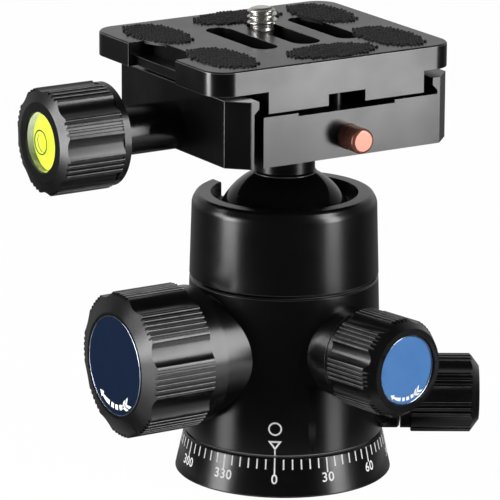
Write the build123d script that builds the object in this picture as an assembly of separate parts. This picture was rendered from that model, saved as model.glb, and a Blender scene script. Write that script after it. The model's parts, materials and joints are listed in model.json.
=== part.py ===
from build123d import *
import os
from math import cos, radians, sin, tan

# Tripod ball head with a quick-release clamp and plate. Millimetres, +Z up.
# Origin: centre of the base's underside, at the mouth of the tripod socket.
# +X to -X is the way the clamp's jaws close, with the clamp knob at -X. -Y is the front.
# An azimuth is measured about Z from -Y (the front) towards +X.

# Clearances
run = 0.05              # radial, a shaft or slider in its own bore
face = 0.05             # between flat faces that turn or slide on each other
press = 0.02            # radial, pieces fixed in each other
seat = 0.10             # between the ball and what bears on it
tap_end = 0.5           # a tapped hole's depth past its screw

# Pan base
base_flare = 1.7
base_step = 0.3         # the ring stands out this far past the housing
base_height = 8.35
base_edge = 0.35
socket_r = 4.7625       # 3/8 inch stud
socket_depth = 10.0
insert_r = 7.0
insert_cap = 1.5
hub_r = 9.5
thrust_washer_thick = 0.3
thrust_washer_r = 20.0
thrust_washer_gap = 0.2
stop_washer_r = 12.5
stop_washer_thick = 1.2
stop_screw_count = 3
stop_screw_circle_r = 6.2
stop_screw_r = 1.25
stop_screw_length = 5.0
stop_screw_head_r = 2.2
stop_screw_head = 1.4

# Housing
housing_wall = 4.45     # chamber to the outside, at the joint
housing_flare = 0.95
joint_drop = 9.05       # parting line, below the ball's centre
housing_edge = 0.3
joint_gap = 0.4
web_thick = 12.0
chamber_gap = 0.6       # ball to the chamber's wall
spigot_wall = 2.0
spigot_height = 1.85
collar_taper = 0.47
rim_bevel = 0.98
rim_bevel_height = 1.75
rim_height = 9.1        # above the ball's centre
boss_edge = 0.4

# Ball, its cup and its ring
ball_r = 15.0
ball_z = 51.5
ring_low = 2.0          # heights above the ball's centre
ring_high = 6.0
cup_floor = 1.8
cup_drop = 7.3
foot_r = 4.0
notch_clearance = 0.7
wave_ring_thick = 0.4
wave_ring_r = 13.0
wave_ring_inner_r = 10.5
wave_slot_gap = 0.15

# Guide block in the chamber
cup_lift = 0.9          # block to cup
block_skirt_r = 13.2
block_skirt = 3.3

# Stem
stem_r = 6.4
stem_flare_r = 6.8
stem_flare_height = 14.1
stem_height = 22.04     # ball's centre to the clamp's underside

# Wedges under the cup and the friction shoe
wedge_angle = 20.0
wedge_end_gap = 0.5
wedge_room = 1.6        # wedge to the chamber's wall
bush_inset = 0.1
knob_gap = 0.3          # boss to knob

# Ball lock
lock_azimuth = -90.0
lock_drop = 6.25        # below the cup's underside
lock_wedge_r = 4.2
lock_wedge_inner_s = -5.0
lock_flat_s = 6.0
lock_spindle_r = 3.0
lock_nose_r = 2.0
lock_nose = 4.0
lock_bush_r = 6.0
lock_boss_r = 13.0
lock_boss_height = 1.15
lock_knob_r = 15.5
lock_knob_collar = 3.75
lock_knob_grip = 13.8
lock_knob_bevel = 1.5
lock_knob_face_r = 11.3
lock_knob_collar_r = 14.5
lock_disc_r = 10.64
lock_disc_thick = 0.8
lock_disc_recess = 0.1
lock_screw_r = 1.5
lock_screw_head_r = 4.0
lock_screw_head = 1.8
lock_screw_length = 8.0
lock_teeth = 6
lock_tooth = 2.5        # degrees
lock_groove = 1.95      # degrees
lock_grip_turn = -13.3  # degrees
lock_groove_depth = 0.75
lock_flute_depth = 0.95

# Friction control
friction_azimuth = 10.0
friction_drop = 4.9
friction_wedge_r = 3.0
friction_wedge_inner_s = 6.5
friction_flat_s = 13.0
friction_shoe_s = 9.5
friction_shoe_r = 2.4
friction_spindle_r = 2.5
friction_nose_r = 1.5
friction_nose = 3.0
friction_bush_r = 4.5
friction_boss_r = 9.6
friction_boss_height = 2.65
friction_knob_r = 10.6
friction_knob_collar = 1.25
friction_knob_grip = 10.6
friction_knob_bevel = 2.55
friction_knob_face_r = 8.9
friction_knob_collar_r = 10.0
friction_disc_r = 7.53
friction_disc_thick = 0.8
friction_disc_recess = 0.55
friction_screw_r = 1.25
friction_screw_head_r = 3.2
friction_screw_head = 1.3
friction_screw_length = 7.0
friction_teeth = 5
friction_tooth = 2.8
friction_groove = 2.5
friction_grip_turn = -10.0
friction_groove_depth = 0.6
friction_flute_depth = 0.7

# Pan lock
pan_azimuth = 58.3
pan_height = 7.8        # above the housing's underside
pan_shoe_r = 3.0
pan_shoe_length = 5.5
pan_spindle_r = 2.5
pan_nose_r = 1.5
pan_nose = 3.0
pan_bush_r = 4.5
pan_shoe_room = 1.2
pan_boss_r = 7.6
pan_boss_height = 3.7
pan_knob_r = 8.45
pan_knob_collar = 2.2
pan_knob_grip = 12.5
pan_knob_bevel = 1.95
pan_knob_face_r = 5.8
pan_knob_collar_r = 7.6
pan_spindle_end = 4.6   # from the knob's face
pan_teeth = 3
pan_tooth = 4.5
pan_groove = 4.5
pan_grip_turn = -1.8
pan_groove_depth = 0.6
pan_flute_depth = 0.6

# Knobs in common
grip_groups = 8
cross_pin_r = 0.8
cross_pin_end_wall = 1.0

# Clamp
seat_x = -0.55          # middle of the dovetail seat
bed_height = 10.56
jaw_rise = 3.5
clamp_front_y = -24.74
clamp_back_y = 24.74
fixed_jaw_thick = 4.7
lip_half = 21.1         # seat middle to a lip's tip
lip_undercut = 1.15
lip_thick = 1.55
corner_chamfer = 4.0
channel_half = 11.7
channel_depth = 0.65
clamp_screw_r = 3.0
clamp_screw_gap = 1.1   # its end to the ball
clamp_screw_head_r = 5.0
clamp_screw_head = 4.0
clamp_screw_sunk = 0.2
clamp_screw_hex = 5.0

# Moving jaw and its screw
jaw_gap = 2.13          # jaw to clamp body, with a plate held
jaw_thick = 4.82
spindle_height = 4.96
spindle_r = 3.0
spindle_tip_x = -8.0
jaw_boss_r = 5.1
jaw_boss_length = 15.48
guide_pin_r = 2.0
guide_pin_y = 15.5
guide_pin_tip_x = -9.5
guide_pin_in_jaw = 4.0
jaw_spring_r = 2.1
jaw_spring_wire_r = 0.3
jaw_spring_y = 9.0
jaw_spring_floor_x = -12.0
jaw_spring_turns = 6
spring_pocket_gap = 0.25
hole_end_gap = 1.0

# Clamp knob and its level
clamp_knob_r = 11.15
clamp_knob_collar = 1.6
clamp_knob_grip = 12.9
clamp_knob_bevel = 0.9
clamp_knob_face_r = 8.3
clamp_knob_collar_r = 10.75
clamp_spindle_end = 5.8 # from the knob's face
clamp_pin_end = 10.3
clamp_teeth = 4
clamp_tooth = 3.4
clamp_groove = 3.1
clamp_grip_turn = -31.2
clamp_groove_depth = 0.6
clamp_flute_depth = 0.75
vial_r = 6.25
vial_depth = 4.6
vial_recess = 0.15
vial_wall = 0.85
vial_base = 0.9
vial_lens = 1.0

# Safety button and the pin that it lowers
button_x = 0.0
button_height = 4.16
button_r = 2.65
button_out = 5.5
button_inner_y = -16.0
button_travel = 2.0
button_pocket = 4.2
button_spring_r = 1.9
button_spring_wire_r = 0.25
button_spring_turns = 4
button_edge = 0.4
safety_pin_r = 1.25
safety_pin_y = -19.5
safety_pin_rise = 2.5   # above the bed
safety_ramp_height = 1.8

# Quick-release plate
plate_left_x = -32.2
plate_right_x = 26.3
plate_front_y = -24.74
plate_back_y = 25.76
foot_height = 4.57
flange_thick = 5.15
plate_corner_r = 5.0
plate_edge = 0.3
foot_gap = 0.6          # foot to bed
end_block_half = 18.95
end_block_length = 6.0
rail_clearance = 0.15
rail_edge = 0.2
front_groove_half = 4.4
front_groove_height = 2.4
front_groove_end_y = -13.9
side_notch_half = 9.5
side_notch_depth = 6.0
side_notch_ledge = 2.1
side_notch_drop = 3.2
slot_x = 0.2
slot_pitch = 10.15
slot_y = 1.45
slot_length = 23.3
slot_width = 5.6
screw_slot_width = 6.45
pocket_height = 3.9
corner_pad_x = 20.3
corner_pad_y = 13.0
corner_pad_length = 20.4
corner_pad_width = 11.4
middle_pad_x = -0.3
middle_pad_y = 18.6
middle_pad_length = 20.6
middle_pad_width = 10.8
pad_sunk = 0.6
pad_proud = 0.5

# Camera screw
camera_screw_r = 3.175  # 1/4 inch thread
camera_screw_neck_r = 2.6
camera_screw_y = 9.7
camera_screw_out = 4.1
camera_screw_point = 0.6
camera_screw_travel = 16.0
camera_screw_head_r = 5.4
camera_screw_head = 2.7
coin_slot = 1.2
coin_slot_depth = 1.1
clip_r = 5.0
clip_thick = 0.8

# Radii, heights and places that follow from the values above
chamber_r = ball_r + chamber_gap
spigot_r = chamber_r + spigot_wall
housing_joint_r = chamber_r + housing_wall
housing_bottom_r = housing_joint_r + housing_flare
bevel_r = housing_joint_r - collar_taper
rim_r = bevel_r - rim_bevel
base_top_r = housing_bottom_r + base_step
base_bottom_r = base_top_r + base_flare
housing_bottom_z = base_height + thrust_washer_thick + face
web_top_z = housing_bottom_z + web_thick
hub_top_z = web_top_z + face
housing_joint_z = ball_z - joint_drop
collar_bottom_z = housing_joint_z + joint_gap
spigot_top_z = housing_joint_z + spigot_height
rim_z = ball_z + rim_height
bevel_z = rim_z - rim_bevel_height
ring_bottom_z = ball_z + ring_low
ring_top_z = ball_z + ring_high
cup_top_z = ball_z - cup_drop
cup_bottom_z = ball_z - ball_r - cup_floor
block_top_z = cup_bottom_z - cup_lift
block_floor_z = web_top_z + block_skirt
cup_cavity_r = ball_r + seat
notch_half = stem_r + notch_clearance
stem_flare_z = ball_z + stem_flare_height
wedge_slope = tan(radians(wedge_angle))
wedge_outer_s = chamber_r - wedge_room
bush_inner_s = chamber_r + bush_inset

lock_z = cup_bottom_z - lock_drop
lock_boss_s = housing_bottom_r + lock_boss_height
lock_knob_rear_s = lock_boss_s + knob_gap
lock_knob_grip_s = lock_knob_rear_s + lock_knob_collar
lock_knob_bevel_s = lock_knob_grip_s + lock_knob_grip
lock_knob_face_s = lock_knob_bevel_s + lock_knob_bevel

friction_z = cup_bottom_z - friction_drop
friction_boss_s = housing_bottom_r + friction_boss_height
friction_knob_rear_s = friction_boss_s + knob_gap
friction_knob_grip_s = friction_knob_rear_s + friction_knob_collar
friction_knob_bevel_s = friction_knob_grip_s + friction_knob_grip
friction_knob_face_s = friction_knob_bevel_s + friction_knob_bevel

pan_z = housing_bottom_z + pan_height
pan_shoe_outer_s = hub_r + pan_shoe_length
pan_bush_inner_s = pan_shoe_outer_s + pan_shoe_room
pan_boss_s = housing_bottom_r + pan_boss_height
pan_knob_rear_s = pan_boss_s + knob_gap
pan_knob_grip_s = pan_knob_rear_s + pan_knob_collar
pan_knob_bevel_s = pan_knob_grip_s + pan_knob_grip
pan_knob_face_s = pan_knob_bevel_s + pan_knob_bevel
pan_spindle_end_s = pan_knob_face_s - pan_spindle_end

clamp_bottom_z = ball_z + stem_height
bed_z = clamp_bottom_z + bed_height
jaw_top_z = bed_z + jaw_rise
lip_bottom_z = jaw_top_z - lip_thick
recess_z = lip_bottom_z - lip_undercut
recess_half = lip_half + lip_undercut
left_lip_x = seat_x - lip_half
right_lip_x = seat_x + lip_half
right_recess_x = seat_x + recess_half
clamp_right_x = right_recess_x + fixed_jaw_thick
clamp_screw_bottom_z = ball_z + ball_r + clamp_screw_gap

jaw_inner_x = seat_x - recess_half
jaw_outer_x = jaw_inner_x - jaw_thick
jaw_boss_end_x = jaw_outer_x - jaw_boss_length
clamp_left_x = jaw_inner_x + jaw_gap
spindle_z = clamp_bottom_z + spindle_height
clamp_knob_rear_s = knob_gap - jaw_boss_end_x
clamp_knob_grip_s = clamp_knob_rear_s + clamp_knob_collar
clamp_knob_bevel_s = clamp_knob_grip_s + clamp_knob_grip
clamp_knob_face_s = clamp_knob_bevel_s + clamp_knob_bevel
clamp_spindle_end_s = clamp_knob_face_s - clamp_spindle_end
clamp_pin_s = clamp_knob_face_s - clamp_pin_end
vial_floor_s = clamp_knob_face_s - vial_depth

button_z = clamp_bottom_z + button_height
safety_pin_top_z = bed_z + safety_pin_rise
safety_ramp_z = button_z + safety_ramp_height

foot_bottom_z = bed_z + foot_gap
flange_bottom_z = foot_bottom_z + foot_height
plate_top_z = flange_bottom_z + flange_thick
rail_half = recess_half - rail_clearance
neck_half = lip_half - rail_clearance
pocket_top_z = foot_bottom_z + pocket_height
pocket_half = camera_screw_head_r + 2 * run

above = (Align.CENTER, Align.CENTER, Align.MIN)


def disc(radius, bottom, top):
    return Pos(0, 0, bottom) * Cylinder(radius, top - bottom, align=above)


def ring(outer, inner, bottom, top):
    return disc(outer, bottom, top) - disc(inner, bottom, top)


def slab(x0, x1, y0, y1, z0, z1):
    middle = Pos((x0 + x1) / 2, (y0 + y1) / 2, (z0 + z1) / 2)
    return middle * Box(x1 - x0, y1 - y0, z1 - z0)


def turned(points):
    """A solid of revolution about Z from (radius, z) points."""
    return revolve(Plane.XZ * make_face(Polyline(*points, close=True)), Axis.Z)


def along_y(points, y0, y1):
    """A prism along Y from (x, z) points."""
    section = Plane.XZ.offset(-y1) * make_face(Polyline(*points, close=True))
    return extrude(section, amount=y1 - y0)


def upright_slot(x, y, length, width, bottom, top):
    """A round-ended slot that runs along Y."""
    outline = Rot(0, 0, 90) * SlotOverall(length, width)
    return Pos(x, y, bottom) * extrude(outline, amount=top - bottom)


def station(azimuth, height):
    """A frame on the head's axis whose Z points outwards at the azimuth, with Y up."""
    a = radians(azimuth)
    return Plane(origin=(0, 0, height), x_dir=(cos(a), sin(a), 0), z_dir=(sin(a), -cos(a), 0)).location


lock_station = station(lock_azimuth, lock_z)
friction_station = station(friction_azimuth, friction_z)
pan_station = station(pan_azimuth, pan_z)
clamp_station = station(-90, spindle_z)


def polar(radius, degrees):
    return (radius * cos(radians(degrees)), radius * sin(radians(degrees)))


def grip_outline(radius, teeth, tooth, groove, groove_depth, flute_depth, turn):
    """The knob's section: groups of flat-topped teeth, with a smooth hollow between groups."""
    edges = []
    pitch = 360 / grip_groups
    group = teeth * tooth + (teeth - 1) * groove
    low = radius - groove_depth
    for number in range(grip_groups):
        start = turn + number * pitch
        for index in range(teeth):
            a = start + index * (tooth + groove)
            b = a + tooth
            edges.append(ThreePointArc(polar(radius, a), polar(radius, (a + b) / 2), polar(radius, b)))
            if index < teeth - 1:
                c = b + groove
                edges.append(Line(polar(radius, b), polar(low, b)))
                edges.append(ThreePointArc(polar(low, b), polar(low, (b + c) / 2), polar(low, c)))
                edges.append(Line(polar(low, c), polar(radius, c)))
        end = start + group
        hollow = polar(radius - flute_depth, (end + start + pitch) / 2)
        edges.append(ThreePointArc(polar(radius, end), hollow, polar(radius, start + pitch)))
    return make_face(edges)


def grip_knob(radius, rear, grip, bevel, front, face_r, collar_r, outline):
    """A knob along its own Z: smooth collar, fluted grip and bevelled front."""
    limit = turned([(0, grip), (radius, grip), (radius, bevel), (face_r, front), (0, front)])
    fluted = (Pos(0, 0, grip) * extrude(outline, amount=front - grip)) & limit
    return fluted + disc(collar_r, rear, grip)


def coil_spring(radius, wire_r, length, turns):
    """A round-wire compression spring along its own Z, from 0 to its length."""
    rise = length - 2 * wire_r
    path = Helix(pitch=rise / turns, height=rise, radius=radius - wire_r)
    start = Plane(origin=path @ 0, z_dir=path % 0)
    return Pos(0, 0, wire_r) * sweep(start * Circle(wire_r), path=path)


def ramp(cut_from_s, cut_to_s, level_s, level_y, half, up):
    """All that lies above (or below) a sloping plane, in a station's frame."""
    far = 30 if up else -30
    near_y = level_y + wedge_slope * (cut_from_s - level_s)
    last_y = level_y + wedge_slope * (cut_to_s - level_s)
    points = [(near_y, cut_from_s), (last_y, cut_to_s), (far, cut_to_s), (far, cut_from_s)]
    section = Plane.YZ * make_face(Polyline(*points, close=True))
    return extrude(section, amount=half, both=True)


def wedge(radius, inner, outer, flat_s, nose_r, nose):
    """A round slider with a sloping flat on top and a socket for its spindle's nose."""
    body = disc(radius, inner, outer)
    body -= ramp(inner - 1, flat_s, flat_s, radius, radius + 1, True)
    return body - disc(nose_r + run, outer - nose - run, outer)


def rider(shape, place, inner, flat_s, radius, outer):
    """Cuts a piece's foot to the slope that it rides on."""
    return shape - place * ramp(inner, outer, flat_s, radius + face, radius + 2, False)


def spindle(radius, nose_r, nose, inner, outer):
    """A knob's screw with a plain nose that turns in the wedge or shoe."""
    return disc(nose_r, inner - nose, inner + face) + disc(radius - run, inner + face, outer)


# Pan base

def pan_base():
    shape = turned([
        (0, 0),
        (base_bottom_r - base_edge, 0),
        (base_bottom_r, base_edge),
        (base_top_r, base_height - base_edge),
        (base_top_r - base_edge, base_height),
        (hub_r, base_height),
        (hub_r, hub_top_z),
        (0, hub_top_z),
    ])
    shape -= disc(insert_r + press, 0, socket_depth + insert_cap)
    for place in stop_screw_places():
        shape -= place * disc(stop_screw_r + press, hub_top_z - stop_screw_length - tap_end, hub_top_z)
    return shape


def tripod_thread_insert():
    return disc(insert_r, 0, socket_depth + insert_cap) - disc(socket_r, 0, socket_depth)


def pan_thrust_washer():
    return ring(thrust_washer_r, hub_r + thrust_washer_gap, base_height, base_height + thrust_washer_thick)


def stop_screw_places():
    return [loc for loc in PolarLocations(stop_screw_circle_r, stop_screw_count)]


def pan_stop_washer():
    shape = disc(stop_washer_r, hub_top_z, hub_top_z + stop_washer_thick)
    for place in stop_screw_places():
        shape -= place * disc(stop_screw_r + press, hub_top_z, hub_top_z + stop_washer_thick)
    return shape


def pan_stop_screws():
    top = hub_top_z + stop_washer_thick
    screw = disc(stop_screw_r, hub_top_z - stop_screw_length, top)
    screw += disc(stop_screw_head_r, top, top + stop_screw_head)
    screw -= Pos(0, 0, top + stop_screw_head / 2) * extrude(RegularPolygon(stop_screw_r, 6), amount=5)
    return Compound([place * screw for place in stop_screw_places()])


# Housing

def housing_base():
    shape = turned([
        (0, housing_bottom_z),
        (housing_bottom_r - housing_edge, housing_bottom_z),
        (housing_bottom_r, housing_bottom_z + housing_edge),
        (housing_joint_r, housing_joint_z - housing_edge),
        (housing_joint_r - housing_edge, housing_joint_z),
        (spigot_r, housing_joint_z),
        (spigot_r, spigot_top_z),
        (0, spigot_top_z),
    ])
    shape += lock_station * boss(lock_boss_r, lock_boss_s)
    shape += friction_station * boss(friction_boss_r, friction_boss_s)
    shape += pan_station * boss(pan_boss_r, pan_boss_s)
    shape -= disc(chamber_r, web_top_z, spigot_top_z)
    shape -= disc(hub_r + run, housing_bottom_z, web_top_z)
    shape -= lock_station * disc(lock_bush_r + press, hub_r, lock_boss_s)
    shape -= friction_station * disc(friction_bush_r + press, hub_r, friction_boss_s)
    shape -= pan_station * disc(pan_shoe_r + run, 0, pan_bush_inner_s)
    return shape - pan_station * disc(pan_bush_r + press, pan_bush_inner_s, pan_boss_s)


def boss(radius, outer):
    return turned([
        (0, hub_r),
        (radius, hub_r),
        (radius, outer - boss_edge),
        (radius - boss_edge, outer),
        (0, outer),
    ])


def notch_cutter():
    """A round-bottomed way through the rim at +Y, where the stem drops level."""
    reach = housing_bottom_r + 1
    floor = Plane(origin=(0, 0, ball_z), z_dir=(0, 1, 0)).location * Cylinder(notch_half, reach, align=above)
    return floor + slab(-notch_half, notch_half, 0, reach, ball_z, rim_z + 1)


def housing_collar():
    shape = turned([
        (spigot_r + press, collar_bottom_z),
        (housing_joint_r - housing_edge, collar_bottom_z),
        (housing_joint_r, collar_bottom_z + housing_edge),
        (bevel_r, bevel_z),
        (rim_r, rim_z),
        (chamber_r, rim_z),
        (chamber_r, spigot_top_z + press),
        (spigot_r + press, spigot_top_z + press),
    ])
    return shape - notch_cutter()


def ball_seat_ring():
    shape = disc(chamber_r - press, ring_bottom_z, ring_top_z)
    shape -= Pos(0, 0, ball_z) * Sphere(cup_cavity_r)
    return shape - notch_cutter()


def guide_block():
    shape = disc(chamber_r - run, web_top_z, block_top_z)
    shape -= disc(block_skirt_r, web_top_z, block_floor_z)
    inner = lock_wedge_inner_s - wedge_end_gap
    shape -= lock_station * disc(lock_wedge_r + run, inner, chamber_r)
    inner = friction_wedge_inner_s - wedge_end_gap
    shape -= friction_station * disc(friction_wedge_r + run, inner, chamber_r)
    shape -= disc(foot_r + run, lock_z, block_top_z)
    return shape - shoe_place() * disc(friction_shoe_r + run, 0, block_top_z - friction_z)


def lock_bush():
    return lock_station * ring(lock_bush_r, lock_spindle_r, bush_inner_s, lock_boss_s)


def friction_bush():
    return friction_station * ring(friction_bush_r, friction_spindle_r, bush_inner_s, friction_boss_s)


def pan_bush():
    return pan_station * ring(pan_bush_r, pan_spindle_r, pan_bush_inner_s, pan_boss_s)


def wave_ring():
    """Spring ring between the guide block and the cup."""
    return ring(wave_ring_r, wave_ring_inner_r, block_top_z, block_top_z + wave_ring_thick) - shoe_cutter()


# Ball, cup and stem

def shoe_place():
    """A frame on the friction shoe's own upright axis, level with the friction wedge's axis."""
    a = radians(friction_azimuth)
    return Pos(friction_shoe_s * sin(a), -friction_shoe_s * cos(a), friction_z)


def shoe_cutter():
    return shoe_place() * disc(friction_shoe_r + wave_slot_gap, 0, ball_z - friction_z)


def lower_cup():
    shape = disc(chamber_r - run, cup_bottom_z, cup_top_z) + disc(foot_r, lock_z, cup_bottom_z)
    shape = rider(shape, lock_station, -foot_r - 1, lock_flat_s, lock_wedge_r, foot_r + 1)
    shape -= Pos(0, 0, ball_z) * Sphere(cup_cavity_r)
    return shape - shoe_place() * disc(friction_shoe_r + run, 0, ball_z - friction_z)


def friction_shoe():
    shape = shoe_place() * disc(friction_shoe_r, 0, ball_z - friction_z)
    outer = friction_shoe_s + friction_shoe_r + 1
    inner = friction_shoe_s - friction_shoe_r - 1
    shape = rider(shape, friction_station, inner, friction_flat_s, friction_wedge_r, outer)
    return shape - Pos(0, 0, ball_z) * Sphere(cup_cavity_r)


def ball():
    return Pos(0, 0, ball_z) * Sphere(ball_r)


def ball_stem():
    top = clamp_bottom_z - face
    shape = turned([
        (0, ball_z),
        (stem_flare_r, ball_z),
        (stem_flare_r, stem_flare_z - (stem_flare_r - stem_r)),
        (stem_r, stem_flare_z),
        (stem_r, top),
        (0, top),
    ])
    shape -= Pos(0, 0, ball_z) * Sphere(cup_cavity_r)
    return shape - disc(clamp_screw_r + run, ball_z, top)


# Ball lock

def lock_wedge():
    return lock_station * wedge(
        lock_wedge_r, lock_wedge_inner_s, wedge_outer_s, lock_flat_s, lock_nose_r, lock_nose)


def disc_floor(front, recess, thick):
    return front - recess - thick


def lock_disc_floor():
    return disc_floor(lock_knob_face_s, lock_disc_recess, lock_disc_thick)


def friction_disc_floor():
    return disc_floor(friction_knob_face_s, friction_disc_recess, friction_disc_thick)


def ball_lock_knob():
    outline = grip_outline(
        lock_knob_r, lock_teeth, lock_tooth, lock_groove,
        lock_groove_depth, lock_flute_depth, lock_grip_turn)
    shape = grip_knob(
        lock_knob_r, lock_knob_rear_s, lock_knob_grip_s, lock_knob_bevel_s,
        lock_knob_face_s, lock_knob_face_r, lock_knob_collar_r, outline)
    floor = lock_disc_floor()
    shape -= disc(lock_disc_r + press, floor, lock_knob_face_s)
    shape -= disc(lock_screw_head_r + press, floor - lock_screw_head, floor)
    return lock_station * (shape - disc(lock_spindle_r, lock_knob_rear_s, floor))


def ball_lock_disc():
    floor = lock_disc_floor()
    return lock_station * disc(lock_disc_r, floor, floor + lock_disc_thick)


def ball_lock_spindle():
    end = lock_disc_floor() - lock_screw_head
    shape = spindle(lock_spindle_r, lock_nose_r, lock_nose, wedge_outer_s, end)
    return lock_station * (shape - disc(lock_screw_r + press, end - lock_screw_length - tap_end, end))


def lock_knob_screw():
    floor = lock_disc_floor()
    shape = disc(lock_screw_r, floor - lock_screw_head - lock_screw_length, floor - lock_screw_head)
    shape += disc(lock_screw_head_r, floor - lock_screw_head, floor - press)
    socket = extrude(RegularPolygon(lock_screw_r, 6), amount=lock_screw_head)
    return lock_station * (shape - Pos(0, 0, floor - lock_screw_head / 2) * socket)


# Friction control

def friction_wedge():
    return friction_station * wedge(
        friction_wedge_r, friction_wedge_inner_s, wedge_outer_s,
        friction_flat_s, friction_nose_r, friction_nose)


def friction_knob():
    outline = grip_outline(
        friction_knob_r, friction_teeth, friction_tooth, friction_groove,
        friction_groove_depth, friction_flute_depth, friction_grip_turn)
    shape = grip_knob(
        friction_knob_r, friction_knob_rear_s, friction_knob_grip_s, friction_knob_bevel_s,
        friction_knob_face_s, friction_knob_face_r, friction_knob_collar_r, outline)
    floor = friction_disc_floor()
    shape -= disc(friction_disc_r + press, floor, friction_knob_face_s)
    shape -= disc(friction_screw_head_r + press, floor - friction_screw_head, floor)
    return friction_station * (shape - disc(friction_spindle_r, friction_knob_rear_s, floor))


def friction_disc():
    floor = friction_disc_floor()
    return friction_station * disc(friction_disc_r, floor, floor + friction_disc_thick)


def friction_spindle():
    end = friction_disc_floor() - friction_screw_head
    shape = spindle(friction_spindle_r, friction_nose_r, friction_nose, wedge_outer_s, end)
    return friction_station * (
        shape - disc(friction_screw_r + press, end - friction_screw_length - tap_end, end))


def friction_knob_screw():
    floor = friction_disc_floor()
    low = floor - friction_screw_head
    shape = disc(friction_screw_r, low - friction_screw_length, low)
    shape += disc(friction_screw_head_r, low, floor - press)
    socket = extrude(RegularPolygon(friction_screw_r, 6), amount=friction_screw_head)
    return friction_station * (shape - Pos(0, 0, floor - friction_screw_head / 2) * socket)


# Pan lock

def pan_brake_shoe():
    shape = pan_station * disc(pan_shoe_r, 0, pan_shoe_outer_s)
    shape -= disc(hub_r + seat, 0, web_top_z)
    return shape - pan_station * disc(pan_nose_r + run, pan_shoe_outer_s - pan_nose - run, pan_shoe_outer_s)


def cross_pin(along, length, hole=0.0):
    """A pin across a knob's axis."""
    lying = Rot(90, 0, 0) * Cylinder(cross_pin_r + hole, length)
    return Pos(0, 0, along) * lying


def pan_pin_along():
    return (pan_knob_grip_s + pan_knob_rear_s) / 2


def pan_pin_length():
    return 2 * (pan_knob_collar_r - cross_pin_end_wall)


def pan_knob():
    outline = grip_outline(
        pan_knob_r, pan_teeth, pan_tooth, pan_groove, pan_groove_depth, pan_flute_depth, pan_grip_turn)
    shape = grip_knob(
        pan_knob_r, pan_knob_rear_s, pan_knob_grip_s, pan_knob_bevel_s,
        pan_knob_face_s, pan_knob_face_r, pan_knob_collar_r, outline)
    shape -= disc(pan_spindle_r, pan_knob_rear_s, pan_spindle_end_s)
    return pan_station * (shape - cross_pin(pan_pin_along(), pan_pin_length(), press))


def pan_spindle():
    shape = spindle(pan_spindle_r, pan_nose_r, pan_nose, pan_shoe_outer_s, pan_spindle_end_s)
    return pan_station * (shape - cross_pin(pan_pin_along(), pan_pin_length(), press))


def pan_knob_pin():
    return pan_station * cross_pin(pan_pin_along(), pan_pin_length())


# Clamp

def clamp_outline():
    return [
        (clamp_left_x, clamp_bottom_z),
        (clamp_right_x, clamp_bottom_z),
        (clamp_right_x, jaw_top_z),
        (right_lip_x, jaw_top_z),
        (right_lip_x, lip_bottom_z),
        (right_recess_x, recess_z),
        (right_recess_x, bed_z),
        (clamp_left_x, bed_z),
    ]


def corner_cutters(x, towards):
    """Two upright wedges that chamfer the front and back corners at x."""
    tall = jaw_top_z - clamp_bottom_z + 2
    shape = Part()
    for y, back in ((clamp_front_y, 1), (clamp_back_y, -1)):
        points = [(x, y), (x - towards * corner_chamfer, y), (x, y + back * corner_chamfer)]
        prism = extrude(make_face(Polyline(*points, close=True)), amount=tall)
        shape += Pos(0, 0, clamp_bottom_z - 1) * prism
    return shape


def across(radius, y, x0, x1):
    """A round bar along X at the spindle's height."""
    return Pos(x0, y, spindle_z) * Rot(0, 90, 0) * Cylinder(radius, x1 - x0, align=above)


def clamp_body():
    shape = along_y(clamp_outline(), clamp_front_y, clamp_back_y) - corner_cutters(clamp_right_x, 1)
    floor = bed_z - channel_depth
    channel = slab(-channel_half, channel_half, clamp_front_y, clamp_back_y, floor, bed_z)
    shape -= Pos(seat_x, 0, 0) * channel
    shape -= disc(clamp_screw_head_r + run, screw_seat_z(), bed_z)
    shape -= disc(clamp_screw_r + run, clamp_bottom_z, bed_z)
    shape -= across(spindle_r, 0, clamp_left_x, spindle_tip_x + hole_end_gap)
    for side in (-1, 1):
        shape -= across(guide_pin_r + run, side * guide_pin_y, clamp_left_x, guide_pin_tip_x + hole_end_gap)
        pocket_r = jaw_spring_r + spring_pocket_gap
        shape -= across(pocket_r, side * jaw_spring_y, clamp_left_x, jaw_spring_floor_x)
    shape -= button_place() * disc(button_r + run, -button_out, button_depth() + button_pocket)
    return shape - safety_hole()


def screw_seat_z():
    return bed_z - channel_depth - clamp_screw_sunk - clamp_screw_head


def clamp_screw():
    low = screw_seat_z()
    shape = disc(clamp_screw_r, clamp_screw_bottom_z, low)
    shape += disc(clamp_screw_head_r, low, low + clamp_screw_head)
    socket = extrude(RegularPolygon(clamp_screw_hex / 2, 6, major_radius=False), amount=clamp_screw_head)
    return shape - Pos(0, 0, low + clamp_screw_head / 2) * socket


def jaw_springs():
    length = jaw_spring_floor_x - jaw_inner_x - 2 * face
    spring = coil_spring(jaw_spring_r, jaw_spring_wire_r, length, jaw_spring_turns)
    laid = [Pos(jaw_inner_x + face, side * jaw_spring_y, spindle_z) * Rot(0, 90, 0) * spring
            for side in (-1, 1)]
    return Compound(laid)


def jaw_outline():
    return [
        (jaw_outer_x, clamp_bottom_z),
        (jaw_inner_x, clamp_bottom_z),
        (jaw_inner_x, recess_z),
        (left_lip_x, lip_bottom_z),
        (left_lip_x, jaw_top_z),
        (jaw_outer_x, jaw_top_z),
    ]


def moving_jaw():
    shape = along_y(jaw_outline(), clamp_front_y, clamp_back_y) - corner_cutters(jaw_outer_x, -1)
    shape += across(jaw_boss_r, 0, jaw_boss_end_x, jaw_inner_x)
    shape -= across(spindle_r, 0, jaw_boss_end_x, jaw_inner_x)
    for side in (-1, 1):
        start = jaw_inner_x - guide_pin_in_jaw
        shape -= across(guide_pin_r + press, side * guide_pin_y, start, jaw_inner_x)
    return shape


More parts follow.
